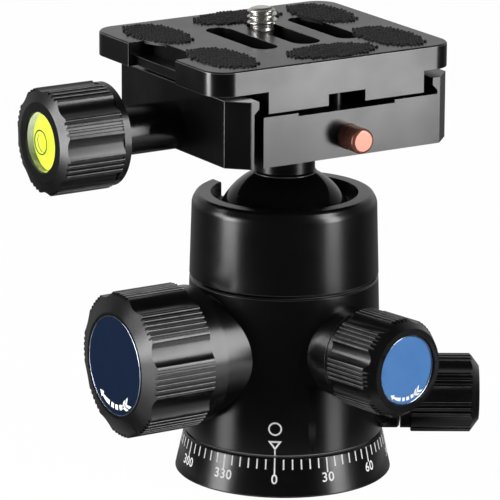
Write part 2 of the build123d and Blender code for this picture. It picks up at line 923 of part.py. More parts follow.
def jaw_guide_pins():
    start = jaw_inner_x - guide_pin_in_jaw
    return Compound([across(guide_pin_r, side * guide_pin_y, start, guide_pin_tip_x) for side in (-1, 1)])


# Clamp knob and its level

def clamp_pin_length():
    return 2 * (clamp_knob_r - clamp_flute_depth - cross_pin_end_wall)


def clamp_knob():
    outline = grip_outline(
        clamp_knob_r, clamp_teeth, clamp_tooth, clamp_groove,
        clamp_groove_depth, clamp_flute_depth, clamp_grip_turn)
    shape = grip_knob(
        clamp_knob_r, clamp_knob_rear_s, clamp_knob_grip_s, clamp_knob_bevel_s,
        clamp_knob_face_s, clamp_knob_face_r, clamp_knob_collar_r, outline)
    shape -= disc(vial_r + press, vial_floor_s, clamp_knob_face_s)
    shape -= disc(spindle_r, clamp_knob_rear_s, clamp_spindle_end_s)
    return clamp_station * (shape - cross_pin(clamp_pin_s, clamp_pin_length(), press))


def clamp_spindle():
    shape = disc(spindle_r - run, -spindle_tip_x, clamp_spindle_end_s)
    return clamp_station * (shape - cross_pin(clamp_pin_s, clamp_pin_length(), press))


def clamp_knob_pin():
    return clamp_station * cross_pin(clamp_pin_s, clamp_pin_length())


def vial_top_s():
    return clamp_knob_face_s - vial_recess


def level_vial():
    shape = disc(vial_r, vial_floor_s, vial_top_s())
    shape -= disc(vial_r - vial_wall, vial_floor_s + vial_base, vial_top_s() - vial_lens)
    return clamp_station * shape


def level_liquid():
    return clamp_station * disc(
        vial_r - vial_wall - press, vial_floor_s + vial_base + press, vial_top_s() - vial_lens - press)


# Safety button

def button_place():
    """A frame whose Z runs into the clamp from its front face, with Y up."""
    return Plane(origin=(button_x, clamp_front_y, button_z), x_dir=(-1, 0, 0), z_dir=(0, 1, 0)).location


def button_depth():
    return button_inner_y - clamp_front_y


def safety_button():
    shape = disc(button_r, -button_out, button_depth())
    shape = chamfer(shape.edges().sort_by(Axis.Z)[0], button_edge)
    placed = button_place() * shape
    low_y = safety_pin_y - safety_pin_r - button_travel - 0.2
    high_y = safety_pin_y + safety_pin_r + button_r
    points = [
        (low_y, safety_ramp_z + low_y - safety_pin_y),
        (high_y, safety_ramp_z + high_y - safety_pin_y),
        (low_y, safety_ramp_z + high_y - safety_pin_y),
    ]
    section = Plane.YZ.offset(button_x) * make_face(Polyline(*points, close=True))
    return placed - extrude(section, amount=safety_pin_r + run, both=True)


def safety_hole():
    hole = disc(safety_pin_r + run, button_z, bed_z)
    return Pos(button_x, safety_pin_y, 0) * hole


def safety_pin():
    shape = Pos(button_x, safety_pin_y, 0) * disc(safety_pin_r, button_z - button_r, safety_pin_top_z)
    reach = 2 * safety_pin_r
    points = [
        (safety_pin_y - reach, safety_ramp_z + face - reach),
        (safety_pin_y + reach, safety_ramp_z + face + reach),
        (safety_pin_y + reach, button_z - button_r - reach),
        (safety_pin_y - reach, button_z - button_r - reach),
    ]
    section = Plane.YZ.offset(button_x) * make_face(Polyline(*points, close=True))
    return shape - extrude(section, amount=reach, both=True)


def button_spring():
    length = button_pocket - 2 * face
    spring = coil_spring(button_spring_r, button_spring_wire_r, length, button_spring_turns)
    return button_place() * Pos(0, 0, button_depth() + face) * spring


# Plate

def plate_foot():
    end_front = plate_front_y + end_block_length
    end_back = plate_back_y - end_block_length
    shape = slab(
        seat_x - end_block_half, seat_x + end_block_half,
        plate_front_y, plate_back_y, foot_bottom_z, flange_bottom_z)
    flank_z = foot_bottom_z + rail_edge
    rail = [
        (seat_x - rail_half, foot_bottom_z),
        (seat_x + rail_half, foot_bottom_z),
        (seat_x + rail_half, flank_z),
        (seat_x + neck_half, flank_z + rail_half - neck_half),
        (seat_x + neck_half, flange_bottom_z),
        (seat_x - neck_half, flange_bottom_z),
        (seat_x - neck_half, flank_z + rail_half - neck_half),
        (seat_x - rail_half, flank_z),
    ]
    return shape + along_y(rail, end_front, end_back)


def side_notch():
    """The stepped notch in the plate's left edge."""
    ledge_z = plate_top_z - side_notch_drop
    middle = (plate_front_y + plate_back_y) / 2
    upper = slab(
        plate_left_x, plate_left_x + side_notch_depth,
        middle - side_notch_half, middle + side_notch_half, ledge_z, plate_top_z)
    lower = slab(
        plate_left_x, plate_left_x + side_notch_ledge,
        middle - side_notch_half, middle + side_notch_half, flange_bottom_z, ledge_z)
    return upper + lower


def plate_slots():
    shape = Part()
    for side in (-1, 1):
        x = slot_x + side * slot_pitch
        shape += upright_slot(x, slot_y, slot_length, slot_width, foot_bottom_z, plate_top_z)
    return shape + upright_slot(slot_x, slot_y, slot_length, screw_slot_width, foot_bottom_z, plate_top_z)


def screw_pocket():
    """The space under the middle slot for the camera screw's head."""
    back = camera_screw_y + pocket_half
    front = camera_screw_y - camera_screw_travel - pocket_half
    return upright_slot(
        slot_x, (front + back) / 2, back - front, 2 * pocket_half, foot_bottom_z, pocket_top_z)


def pad_outline(length, width):
    return Ellipse(length / 2, width / 2)


def plate_middle():
    return ((plate_left_x + plate_right_x) / 2, (plate_front_y + plate_back_y) / 2)


def corner_pad_set(grow, bottom, top):
    x, y = plate_middle()
    pad = extrude(pad_outline(corner_pad_width + 2 * grow, corner_pad_length + 2 * grow), amount=top - bottom)
    places = [(x + sx * corner_pad_x, y + sy * corner_pad_y) for sx in (-1, 1) for sy in (-1, 1)]
    return [Pos(px, py, bottom) * pad for px, py in places]


def middle_pad_set(grow, bottom, top):
    y = plate_middle()[1]
    pad = extrude(pad_outline(middle_pad_length + 2 * grow, middle_pad_width + 2 * grow), amount=top - bottom)
    return [Pos(middle_pad_x, y + side * middle_pad_y, bottom) * pad for side in (-1, 1)]


def plate():
    middle = plate_middle()
    width = plate_right_x - plate_left_x
    length = plate_back_y - plate_front_y
    outline = RectangleRounded(width, length, plate_corner_r)
    shape = Pos(middle[0], middle[1], flange_bottom_z) * extrude(outline, amount=flange_thick)
    shape = chamfer(shape.faces().sort_by(Axis.Z)[-1].outer_wire().edges(), plate_edge)
    shape += plate_foot()
    shape -= side_notch()
    shape -= plate_slots()
    shape -= screw_pocket()
    shape -= slab(
        seat_x - front_groove_half, seat_x + front_groove_half,
        plate_front_y, front_groove_end_y, foot_bottom_z, foot_bottom_z + front_groove_height)
    for hollow in corner_pad_set(press, plate_top_z - pad_sunk, plate_top_z):
        shape -= hollow
    for hollow in middle_pad_set(press, plate_top_z - pad_sunk, plate_top_z):
        shape -= hollow
    return shape


def corner_pads():
    return Compound(corner_pad_set(0, plate_top_z - pad_sunk, plate_top_z + pad_proud))


def middle_pads():
    return Compound(middle_pad_set(0, plate_top_z - pad_sunk, plate_top_z + pad_proud))


# Camera screw

def clip_bottom_z():
    return pocket_top_z - face - clip_thick


def screw_place():
    return Pos(slot_x, camera_screw_y, 0)


def screw_retaining_clip():
    low = clip_bottom_z()
    return screw_place() * ring(clip_r, camera_screw_neck_r + run, low, low + clip_thick)


def camera_screw():
    head_top = clip_bottom_z() - face
    head_bottom = head_top - camera_screw_head
    tip = plate_top_z + camera_screw_out
    shape = disc(camera_screw_head_r, head_bottom, head_top)
    shape += turned([
        (0, head_top),
        (camera_screw_neck_r, head_top),
        (camera_screw_neck_r, plate_top_z),
        (camera_screw_r, plate_top_z),
        (camera_screw_r, tip - camera_screw_point),
        (camera_screw_r - camera_screw_point, tip),
        (0, tip),
    ])
    reach = camera_screw_head_r
    half = coin_slot / 2
    shape -= slab(-reach, reach, -half, half, head_bottom, head_bottom + coin_slot_depth)
    return screw_place() * shape


pieces = [
    pan_base, tripod_thread_insert, pan_thrust_washer, pan_stop_washer, pan_stop_screws,
    housing_base, housing_collar, ball_seat_ring, guide_block, lock_bush, friction_bush, pan_bush, wave_ring,
    lower_cup, friction_shoe, ball, ball_stem,
    lock_wedge, ball_lock_knob, ball_lock_disc, ball_lock_spindle, lock_knob_screw,
    friction_wedge, friction_knob, friction_disc, friction_spindle, friction_knob_screw,
    pan_brake_shoe, pan_knob, pan_spindle, pan_knob_pin,
    clamp_body, clamp_screw, jaw_springs, moving_jaw, jaw_guide_pins,
    clamp_knob, clamp_spindle, clamp_knob_pin, level_vial, level_liquid,
    safety_button, safety_pin, button_spring,
    plate, corner_pads, middle_pads, screw_retaining_clip, camera_screw,
]

os.makedirs("parts", exist_ok=True)
for piece in pieces:
    export_step(piece(), f"parts/{piece.__name__}.step")
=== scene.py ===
import bpy, bmesh, json
from math import cos, hypot, pi, radians, sin, sqrt
from mathutils import Matrix, Vector


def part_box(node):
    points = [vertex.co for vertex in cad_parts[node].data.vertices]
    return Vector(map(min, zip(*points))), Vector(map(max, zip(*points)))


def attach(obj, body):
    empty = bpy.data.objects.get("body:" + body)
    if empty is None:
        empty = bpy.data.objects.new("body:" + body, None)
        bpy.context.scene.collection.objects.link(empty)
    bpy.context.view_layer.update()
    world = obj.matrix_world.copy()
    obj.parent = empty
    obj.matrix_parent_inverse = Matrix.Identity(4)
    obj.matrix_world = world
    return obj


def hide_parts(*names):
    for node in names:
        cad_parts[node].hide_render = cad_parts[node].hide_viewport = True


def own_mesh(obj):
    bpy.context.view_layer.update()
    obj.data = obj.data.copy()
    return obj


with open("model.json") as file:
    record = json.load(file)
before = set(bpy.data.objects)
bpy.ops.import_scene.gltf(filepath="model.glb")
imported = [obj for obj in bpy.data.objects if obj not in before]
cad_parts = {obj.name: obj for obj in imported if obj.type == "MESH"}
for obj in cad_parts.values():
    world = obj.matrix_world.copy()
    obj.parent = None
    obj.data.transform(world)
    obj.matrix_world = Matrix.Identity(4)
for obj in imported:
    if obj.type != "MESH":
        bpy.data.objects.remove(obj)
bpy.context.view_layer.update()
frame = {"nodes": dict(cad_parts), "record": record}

cad = frame["nodes"]
bodies = frame["record"]["behaviour"]["bodies"]
bodyOf = {node: body for body, members in bodies.items() for node in members}
slotOf = {part["node"]: part["material_slot"] for part in frame["record"]["subparts"]}
mm = 0.001
print("frame loaded:", len(cad), "nodes")

# camera, lights and floor

shot = {
    "target": (-6.132, 3.792, 47.68), "distance": 961.8,
    "azimuth": -31.732, "elevation": 15.228, "roll": 0.29,
    "lens": 327.36, "sensor": 36.0, "clip": (0.05, 20.0),
}


# azimuth 0 is the front, -Y, and it grows towards +X
def outward(azimuth, elevation=0.0):
    a, e = radians(azimuth), radians(elevation)
    return Vector((sin(a) * cos(e), -cos(a) * cos(e), sin(e)))


def aimed(place, target, roll=0.0):
    look = (target - place).to_track_quat("-Z", "Y").to_matrix().to_4x4()
    return Matrix.Translation(place) @ look @ Matrix.Rotation(radians(roll), 4, "Z")


def makeCamera():
    data = bpy.data.cameras.new("studioCamera")
    data.sensor_width = shot["sensor"]
    data.lens = shot["lens"]
    data.clip_start, data.clip_end = shot["clip"]
    camera = bpy.data.objects.new("studioCamera", data)
    bpy.context.scene.collection.objects.link(camera)
    target = Vector(shot["target"]) * mm
    place = target + outward(shot["azimuth"], shot["elevation"]) * shot["distance"] * mm
    camera.matrix_world = aimed(place, target, shot["roll"])
    bpy.context.scene.camera = camera


softboxes = {
    # azimuth, distance, middle height, width, tall (all mm), radiance
    "boxRight": (28.2, 260.0, 147.0, 82.0, 268.0, 11.2),
    "boxLeft": (-100.0, 260.0, 148.0, 92.0, 280.0, 13.0),
    "boxRear": (-117.0, 260.0, 150.0, 42.0, 150.0, 9.0),
}


def makeSoftboxes():
    for name, (azimuth, distance, height, width, tall, radiance) in softboxes.items():
        data = bpy.data.lights.new(name, "AREA")
        data.shape = "RECTANGLE"
        data.size, data.size_y = width * mm, tall * mm
        data.energy = radiance * pi * data.size * data.size_y
        lamp = bpy.data.objects.new(name, data)
        bpy.context.scene.collection.objects.link(lamp)
        place = outward(azimuth) * distance * mm + Vector((0, 0, height * mm))
        lamp.matrix_world = aimed(place, Vector((0, 0, place.z)))
        lamp.visible_camera = False


# adds one node, links or sets its inputs, and gives it back
def put(tree, kind, inputs=None, **settings):
    made = tree.nodes.new("ShaderNode" + kind)
    for key, value in settings.items():
        setattr(made, key, value)
    for key, value in (inputs or {}).items():
        if isinstance(value, bpy.types.NodeSocket):
            tree.links.new(value, made.inputs[key])
        else:
            made.inputs[key].default_value = value
    return made


def mathNode(tree, operation, a, b):
    return put(tree, "Math", {0: a, 1: b}, operation=operation).outputs[0]


def grey(value):
    return (value, value, value, 1)


# a ray that comes off a shiny surface or through a clear one
def mirroredRay(tree, ray):
    return mathNode(tree, "MAXIMUM", ray.outputs["Is Glossy Ray"], ray.outputs["Is Transmission Ray"])


backdrop = {
    # the screen's edges are cosines from its middle
    "white": 1.0, "screenMirrored": 0.6, "screenTilt": -8.0, "screenEdge": 0.3, "screenFull": 0.9,
    "roomSoft": 0.2, "roomMirrored": 0.012,
}


# white where the camera or a mirror looks at the screen behind, a dark room elsewhere
def makeWorld():
    world = bpy.data.worlds.new("studio")
    bpy.context.scene.world = world
    world.use_nodes = True
    tree = world.node_tree
    shader = tree.nodes["Background"]
    ray = put(tree, "LightPath")
    look = put(tree, "TexCoord").outputs["Generated"]
    behind = -outward(shot["azimuth"], backdrop["screenTilt"])
    facing = put(tree, "VectorMath", {0: look, 1: behind}, operation="DOT_PRODUCT").outputs["Value"]
    screen = put(tree, "MapRange", {
        "Value": facing, "From Min": backdrop["screenEdge"], "From Max": backdrop["screenFull"]}).outputs[0]
    mirrored = mirroredRay(tree, ray)
    room = put(tree, "MapRange", {
        "Value": mirrored, "To Min": backdrop["roomSoft"], "To Max": backdrop["roomMirrored"]}).outputs[0]
    screen = mathNode(tree, "MULTIPLY", mirrored, screen)
    screen = mathNode(tree, "MULTIPLY", screen, backdrop["screenMirrored"])
    shown = mathNode(tree, "MAXIMUM", ray.outputs["Is Camera Ray"], screen)
    strength = put(tree, "MapRange", {"Value": shown, "To Min": room, "To Max": backdrop["white"]})
    tree.links.new(strength.outputs[0], shader.inputs["Strength"])
    shader.inputs["Color"].default_value = grey(1)


table = {
    # mm; in a mirror it has a painted glow from the foot to the far radius
    "radius": 3000.0, "drop": 0.02, "steps": 96, "foot": 30.0, "footEnd": 44.0, "near": 45.0, "far": 56.0,
    "white": 0.985, "glow": 0.3, "pale": 0.82, "paleRough": 0.8, "dark": 0.025, "darkRough": 0.12,
}


# the camera sees it white with a shadow; a mirror sees it dark, with a painted glow round the foot
def makeFloor():
    bm = bmesh.new()
    bmesh.ops.create_circle(bm, cap_ends=True, segments=table["steps"], radius=table["radius"] * mm)
    bmesh.ops.translate(bm, verts=bm.verts, vec=(0, 0, -table["drop"] * mm))
    mesh = bpy.data.meshes.new("floor")
    bm.to_mesh(mesh)
    bm.free()
    floor = bpy.data.objects.new("floor", mesh)
    bpy.context.scene.collection.objects.link(floor)
    material = bpy.data.materials.new("paleFloor")
    material.use_nodes = True
    tree = material.node_tree
    pale = tree.nodes["Principled BSDF"]
    pale.inputs["Base Color"].default_value = grey(table["pale"])
    pale.inputs["Roughness"].default_value = table["paleRough"]
    ray = put(tree, "LightPath")
    where = put(tree, "TexCoord").outputs["Object"]
    away = put(tree, "VectorMath", {0: where}, operation="LENGTH").outputs["Value"]
    near = put(tree, "MapRange", {
        "Value": away, "From Min": table["near"] * mm, "From Max": table["far"] * mm,
        "To Min": table["glow"], "To Max": 0.0}).outputs[0]
    foot = put(tree, "MapRange", {
        "Value": away, "From Min": table["foot"] * mm, "From Max": table["footEnd"] * mm}).outputs[0]
    near = mathNode(tree, "MULTIPLY", near, foot)
    # for mirrors only, a ring of painted glow round the foot
    mirrored = mathNode(tree, "MULTIPLY", mirroredRay(tree, ray), near)
    shown = mathNode(tree, "MAXIMUM", ray.outputs["Is Camera Ray"], mirrored)
    glow = put(tree, "Emission", {"Color": grey(1), "Strength": 1.0})
    dark = put(tree, "BsdfPrincipled", {"Base Color": grey(table["dark"]), "Roughness": table["darkRough"]})
    lit = put(tree, "MixShader", {0: near, 1: dark.outputs[0], 2: pale.outputs[0]})
    glossy = ray.outputs["Is Glossy Ray"]
    plain = put(tree, "MixShader", {0: glossy, 1: pale.outputs[0], 2: lit.outputs[0]})
    amount = mathNode(tree, "MULTIPLY", shown, table["white"])
    blend = put(tree, "MixShader", {0: amount, 1: plain.outputs[0], 2: glow.outputs[0]})
    tree.links.new(blend.outputs[0], tree.nodes["Material Output"].inputs["Surface"])
    mesh.materials.append(material)


bpy.context.scene.view_settings.view_transform = "Standard"
makeCamera()
makeSoftboxes()
makeWorld()
makeFloor()
print("camera, lights and floor made")

# finishes

def newFinish(name):
    material = bpy.data.materials.new(name)
    material.use_nodes = True
    tree = material.node_tree
    return material, tree, tree.nodes["Principled BSDF"], put(tree, "TexCoord").outputs["Object"]


def grain(tree, coord, scale, detail=3.0, rough=0.6):
    return put(tree, "TexNoise", {
        "Vector": coord, "Scale": scale, "Detail": detail, "Roughness": rough}).outputs[0]


def spread(tree, value, low, high, fromLow=0.3, fromHigh=0.7):
    return put(tree, "MapRange", {
        "Value": value, "From Min": fromLow, "From Max": fromHigh,
        "To Min": low, "To Max": high}).outputs[0]


# roughness that changes a little with a noise
def roughen(tree, shader, value, rough, change):
    tree.links.new(spread(tree, value, rough - change, rough + change), shader.inputs["Roughness"])


def tint(tree, amount, first, second):
    mix = put(tree, "Mix", {"Factor": amount}, data_type="RGBA")
    mix.inputs["A"].default_value = (*first, 1)
    mix.inputs["B"].default_value = (*second, 1)
    return mix.outputs["Result"]


def bump(tree, shader, height, distance, strength=1.0):
    made = put(tree, "Bump", {"Height": height, "Distance": distance, "Strength": strength})
    tree.links.new(made.outputs[0], shader.inputs["Normal"])


# anodised aluminium: a fine blasted grain, and a paler colour on the broken edges, mottled by a noise, as a
# painted highlight
def anodised(name, look, cloudScale=90.0, highlightScale=420.0, highlightSpread=(0.35, 1.0), roughChange=0.03):
    material, tree, shader, coord = newFinish(name)
    fine = grain(tree, coord, look["grainScale"])
    cloud = grain(tree, coord, cloudScale, 2.0)
    # the marked edge faces, mottled by a noise, mix in the painted highlight colour
    edge = put(tree, "Attribute", attribute_name="paintedEdgeHighlight").outputs["Fac"]
    highlighted = mathNode(tree, "MULTIPLY", edge, spread(tree, grain(tree, coord, highlightScale), *highlightSpread))
    mix = put(tree, "Mix", {"Factor": mathNode(tree, "MULTIPLY", highlighted, look["highlightAmount"])}, data_type="RGBA")
    tree.links.new(tint(tree, cloud, look["dark"], look["light"]), mix.inputs["A"])
    mix.inputs["B"].default_value = (*look["highlightColour"], 1)
    tree.links.new(mix.outputs["Result"], shader.inputs["Base Color"])
    roughen(tree, shader, cloud, look["rough"], roughChange)
    shader.inputs["Specular IOR Level"].default_value = look["gloss"]
    shader.inputs["Metallic"].default_value = look["metal"]
    bump(tree, shader, fine, look["grainDepth"] * mm)
    return material


# the pale edge colour and its amount paint a highlight on the broken edges
blackLook = {
    "dark": (0.0022, 0.0022, 0.0025), "light": (0.0038, 0.0038, 0.0042), "highlightColour": (0.14, 0.14, 0.145),
    "rough": 0.24, "gloss": 0.5, "metal": 0.0, "highlightAmount": 0.5, "grainScale": 5200.0, "grainDepth": 0.002,
}
polishedLook = {
    **blackLook, "rough": 0.08, "gloss": 0.2, "highlightAmount": 0.0, "grainScale": 900.0, "grainDepth": 0.0003,
}
redLook = {
    **blackLook, "dark": (0.24, 0.10, 0.073), "light": (0.30, 0.13, 0.093), "highlightColour": (0.36, 0.12, 0.09),
    "rough": 0.28, "metal": 0.65, "highlightAmount": 0.6,
}


# turned or ground metal, with fine lines left by the tool
def machined(name, look, roughChange=0.05):
    material, tree, shader, coord = newFinish(name)
    stretched = put(tree, "Mapping", {"Vector": coord, "Scale": look["stretch"]}).outputs[0]
    lines = grain(tree, stretched, look["scale"], 4.0)
    tree.links.new(tint(tree, lines, look["dark"], look["light"]), shader.inputs["Base Color"])
    roughen(tree, shader, lines, look["rough"], roughChange)
    shader.inputs["Metallic"].default_value = 1.0
    bump(tree, shader, lines, look["depth"] * mm)
    return material


steelLook = {
    "dark": (0.62, 0.60, 0.57), "light": (0.80, 0.78, 0.75), "rough": 0.29,
    "stretch": (1, 1, 6), "scale": 300.0, "depth": 0.0012,
}
blackSteelLook = {**steelLook, "dark": (0.03, 0.03, 0.032), "light": (0.055, 0.055, 0.06), "rough": 0.39}
brassLook = {**steelLook, "dark": (0.55, 0.36, 0.13), "light": (0.78, 0.56, 0.26)}
rimLook = {
    **steelLook, "dark": (0.30, 0.34, 0.42), "light": (0.44, 0.49, 0.58), "rough": 0.25,
    "stretch": (1, 1, 1), "scale": 600.0, "depth": 0.001,
}


def moulded(name, look, cloudScale=140.0, roughChange=0.08):
    material, tree, shader, coord = newFinish(name)
    fine = grain(tree, coord, look["scale"], 4.0)
    cloud = grain(tree, coord, cloudScale)
    tree.links.new(tint(tree, cloud, look["dark"], look["light"]), shader.inputs["Base Color"])
    roughen(tree, shader, fine, look["rough"], roughChange)
    shader.inputs["Specular IOR Level"].default_value = look["gloss"]
    bump(tree, shader, fine, look["depth"] * mm)
    return material


slideLook = {
    "dark": (0.70, 0.69, 0.65), "light": (0.80, 0.79, 0.75), "rough": 0.45, "gloss": 0.4,
    "scale": 1500.0, "depth": 0.004,
}
rubberLook = {
    "dark": (0.006, 0.006, 0.007), "light": (0.014, 0.013, 0.014), "rough": 0.5, "gloss": 0.42,
    "scale": 3800.0, "depth": 0.02,
}
navyLook = {
    "dark": (0.0027, 0.0078, 0.0235), "light": (0.004, 0.0105, 0.029), "rough": 0.42, "gloss": 0.08,
    "scale": 2600.0, "depth": 0.0025,
}
blueLook = {
    "dark": (0.032, 0.122, 0.33), "light": (0.062, 0.185, 0.42), "rough": 0.46, "gloss": 0.25,
    "scale": 2600.0, "depth": 0.004,
}
printLook = {
    "dark": (0.72, 0.72, 0.72), "light": (0.86, 0.86, 0.86), "rough": 0.55, "gloss": 0.3,
    "scale": 3200.0, "depth": 0.003,
}
inkLook = {
    "dark": (0.006, 0.008, 0.003), "light": (0.012, 0.015, 0.006), "rough": 0.4, "gloss": 0.4,
    "scale": 2600.0, "depth": 0.002,
}
cupLookWithGlow = {
    "dark": (0.05, 0.06, 0.04), "light": (0.24, 0.28, 0.20), "rough": 0.25, "gloss": 0.9,
    "scale": 500.0, "depth": 0.004, "glowTint": (0.80, 0.86, 0.76),
    # the painted glow's strength at two heights
    "from": 74.5, "to": 81.0, "glow": (0.03, 0.62),
}


# clear plastic seen edge on, with a painted glow that is brighter towards its upper end
def clouded(name, look):
    material = moulded(name, look)
    tree = material.node_tree
    shader = tree.nodes["Principled BSDF"]
    height = put(tree, "SeparateXYZ", {0: put(tree, "TexCoord").outputs["Object"]}).outputs["Z"]
    # a painted glow, stronger with height
    lift = put(tree, "MapRange", {
        "Value": height, "From Min": look["from"] * mm, "From Max": look["to"] * mm,
        "To Min": look["glow"][0], "To Max": look["glow"][1]}).outputs[0]
    shader.inputs["Emission Color"].default_value = (*look["glowTint"], 1)
    tree.links.new(lift, shader.inputs["Emission Strength"])
    return material


def clearPlastic(name, look, cloudScale=240.0, hazeScale=700.0, haze=(0.01, 0.05)):
    material, tree, shader, coord = newFinish(name)
    cloud = grain(tree, coord, cloudScale, 2.0)
    tree.links.new(tint(tree, cloud, look["tint"], look["palest"]), shader.inputs["Base Color"])
    shader.inputs["Transmission Weight"].default_value = 1.0
    shader.inputs["IOR"].default_value = look["bend"]
    tree.links.new(spread(tree, grain(tree, coord, hazeScale), *haze), shader.inputs["Roughness"])
    return material


lensLook = {"tint": (0.96, 1.0, 0.88), "palest": (0.99, 1.0, 0.94), "bend": 1.45}
bubbleLook = {"tint": (0.98, 1.0, 0.86), "palest": (1.0, 1.0, 0.94), "bend": 0.93}
fluidLook = {
    "dark": (0.70, 0.84, 0.03), "light": (0.82, 0.94, 0.07), "scale": 260.0, "rough": 0.3,
    "glow": 0.5, "glowDark": (0.64, 0.80, 0.06), "glowLight": (0.80, 0.94, 0.12),
}


# the fluid's emission is a painted glow, standing in for light that reaches it through the lens
def fluid(name, look):
    material, tree, shader, coord = newFinish(name)
    cloud = grain(tree, coord, look["scale"], 2.0)
    tree.links.new(tint(tree, cloud, look["dark"], look["light"]), shader.inputs["Base Color"])
    tree.links.new(tint(tree, cloud, look["glowDark"], look["glowLight"]), shader.inputs["Emission Color"])
    shader.inputs["Emission Strength"].default_value = look["glow"]
    shader.inputs["Roughness"].default_value = look["rough"]
    return material


finishes = {
    "black_anodised": anodised("blackAnodised", blackLook),
    "black_polished": anodised("blackPolished", polishedLook),
    "red_anodised": anodised("redAnodised", redLook),
    "steel": machined("turnedSteel", steelLook),
    "black_steel": machined("blackenedSteel", blackSteelLook),
    "brass": machined("turnedBrass", brassLook),
    "slide_plastic": moulded("slidePlastic", slideLook),
    "pad_rubber": moulded("padRubber", rubberLook),
    "navy_enamel": moulded("navyEnamel", navyLook),
    "light_blue_enamel": moulded("lightBlueEnamel", blueLook),
    "clear_acrylic": clearPlastic("clearAcrylic", lensLook),
    "vial_fluid": fluid("vialFluid", fluidLook),
}
whitePrint = moulded("whitePrint", printLook)
darkInk = moulded("darkInk", inkLook)
cupWithPaintedGlow = clouded("cupWithPaintedGlow", cupLookWithGlow)
airBubble = clearPlastic("airBubble", bubbleLook)
cutRim = machined("cutRim", rimLook)
for node, piece in cad.items():
    piece.data.materials.clear()
    piece.data.materials.append(finishes[slotOf[node]])
print("finishes made:", len(finishes))

# helpers for the new pieces

upright = (Vector((0, 0, 0)), Vector((0, 0, 1)))


# a knob's own frame: local X and Y across, local Z outward along its spindle
def station(azimuth, height):
    a = radians(azimuth)
    frameX, frameY, along = Vector((cos(a), sin(a), 0)), Vector((0, 0, 1)), outward(azimuth)
    turned = Matrix((frameX, frameY, along)).transposed().to_4x4()
    return Matrix.Translation((0, 0, height * mm)) @ turned


def axisOf(place):
    return place.to_translation(), (place.to_3x3() @ Vector((0, 0, 1))).normalized()


lockStation = station(-90, 28.45)
frictionStation = station(10, 29.8)
panStation = station(58.3, 16.5)
clampStation = station(-90, 78.5)

shading = {
    # degrees, except the gap (mm), the two cosines, and the least area and arm that count (in metres)
    "cutoff": 33.0, "flat": 0.5, "axisGap": 0.2, "lean": 0.1, "along": 0.99,
    "leastArea": 1e-14, "leastArm": 1e-7,
}


# smooth corner normals: a wall turned about one of the axes gets the round wall's own
# direction, other faces lean to their near neighbours, and a broken edge to both its sides
def cleanShading(mesh, axes):
    bm = bmesh.new()
    bm.from_mesh(mesh)
    limit = radians(shading["cutoff"])
    layer = bm.faces.layers.float.get("paintedEdgeHighlight")
    turned = [turnedAbout(face, axes, limit) for face in bm.faces]
    broken = [bool(layer) and face[layer] > 0.5 for face in bm.faces]
    area = [max(face.calc_area(), shading["leastArea"]) for face in bm.faces]

    def own(face, vert):
        if turned[face.index] is None:
            return face.normal
        point, along = turned[face.index]
        arm = vert.co - point
        arm -= along * arm.dot(along)
        if arm.length < shading["leastArm"]:
            return face.normal
        middle = face.calc_center_median() - point
        middle -= along * middle.dot(along)
        out = face.normal.dot(middle.normalized())
        return (arm.normalized() * out + along * face.normal.dot(along)).normalized()

    normals = []
    for face in bm.faces:
        for loop in face.loops:
            mine = own(face, loop.vert)
            if turned[face.index] and not broken[face.index]:
                normals.append(mine)
                continue
            near = [(f, own(f, loop.vert)) for f in loop.vert.link_faces]
            near = [(f, n) for f, n in near if n.dot(mine) > cos(limit)]
            firm = [(f, n) for f, n in near if not broken[f.index]]
            total = sum((n * area[f.index] for f, n in (firm or near)), Vector())
            normals.append(total.normalized() if total.length > 0 else mine)
    bm.free()
    mesh.normals_split_custom_set(normals)


# the axis that a face is turned about, or None: hollows that only face away from it don't count
def turnedAbout(face, axes, limit):
    centre, best = face.calc_center_median(), None
    for point, along in axes:
        arm = centre - point
        arm -= along * arm.dot(along)
        if arm.length < shading["axisGap"] * mm:
            continue
        out = arm.normalized()
        lean = abs(face.normal.dot(along.cross(out)))
        if lean < shading["lean"] and (best is None or lean < best[0]):
            best = (lean, point, along, face.normal.dot(out))
    if best is None:
        return None
    for edge in face.edges:
        run = (edge.verts[1].co - edge.verts[0].co).normalized()
        bend = edge.calc_face_angle(0.0) if edge.is_manifold else 0.0
        wall = abs(run.dot(best[2])) > shading["along"] and radians(shading["flat"]) < bend < limit
        if wall and edge.is_convex != (best[3] > 0):
            return None
    return best[1], best[2]


def finishPiece(bm, name, body, slot=None, finish=None, replaces=(), axes=(upright,), flat=False):
    mesh = bpy.data.meshes.new(name)
    bm.to_mesh(mesh)
    bm.free()
    if not flat:
        for face in mesh.polygons:
            face.use_smooth = True
        cleanShading(mesh, axes)
    mesh.materials.append(finish or finishes[slot])
    piece = bpy.data.objects.new(name, mesh)
    bpy.context.scene.collection.objects.link(piece)
    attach(piece, body)
    if replaces:
        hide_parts(*replaces)
    return piece


def sharpEdges(bm, angle, where=None):
    return [e for e in bm.edges if e.is_manifold and e.is_convex
            and e.calc_face_angle(0.0) > radians(angle) and (where is None or where(e))]


# the new faces are marked for the painted edge highlight, unless told not to
def roundOff(bm, edges, width, segments=2, highlighted=True):
    layer = bm.faces.layers.float.get("paintedEdgeHighlight") or bm.faces.layers.float.new("paintedEdgeHighlight")
    made = bmesh.ops.bevel(
        bm, geom=edges, offset=width * mm, offset_type="OFFSET", segments=segments, profile=0.5,
        affect="EDGES", clamp_overlap=True, material=-1, loop_slide=True)
    for face in made["faces"]:
        face[layer] = 1.0 if highlighted else 0.0


merging = {"gap": 0.0002, "angle": 0.4, "turnedGap": 0.0005}


def mergedCopy(node):
    bm = bmesh.new()
    bm.from_mesh(cad[node].data)
    bmesh.ops.remove_doubles(bm, verts=bm.verts, dist=merging["gap"] * mm)
    bmesh.ops.dissolve_limit(bm, angle_limit=radians(merging["angle"]), verts=bm.verts, edges=bm.edges)
    return bm


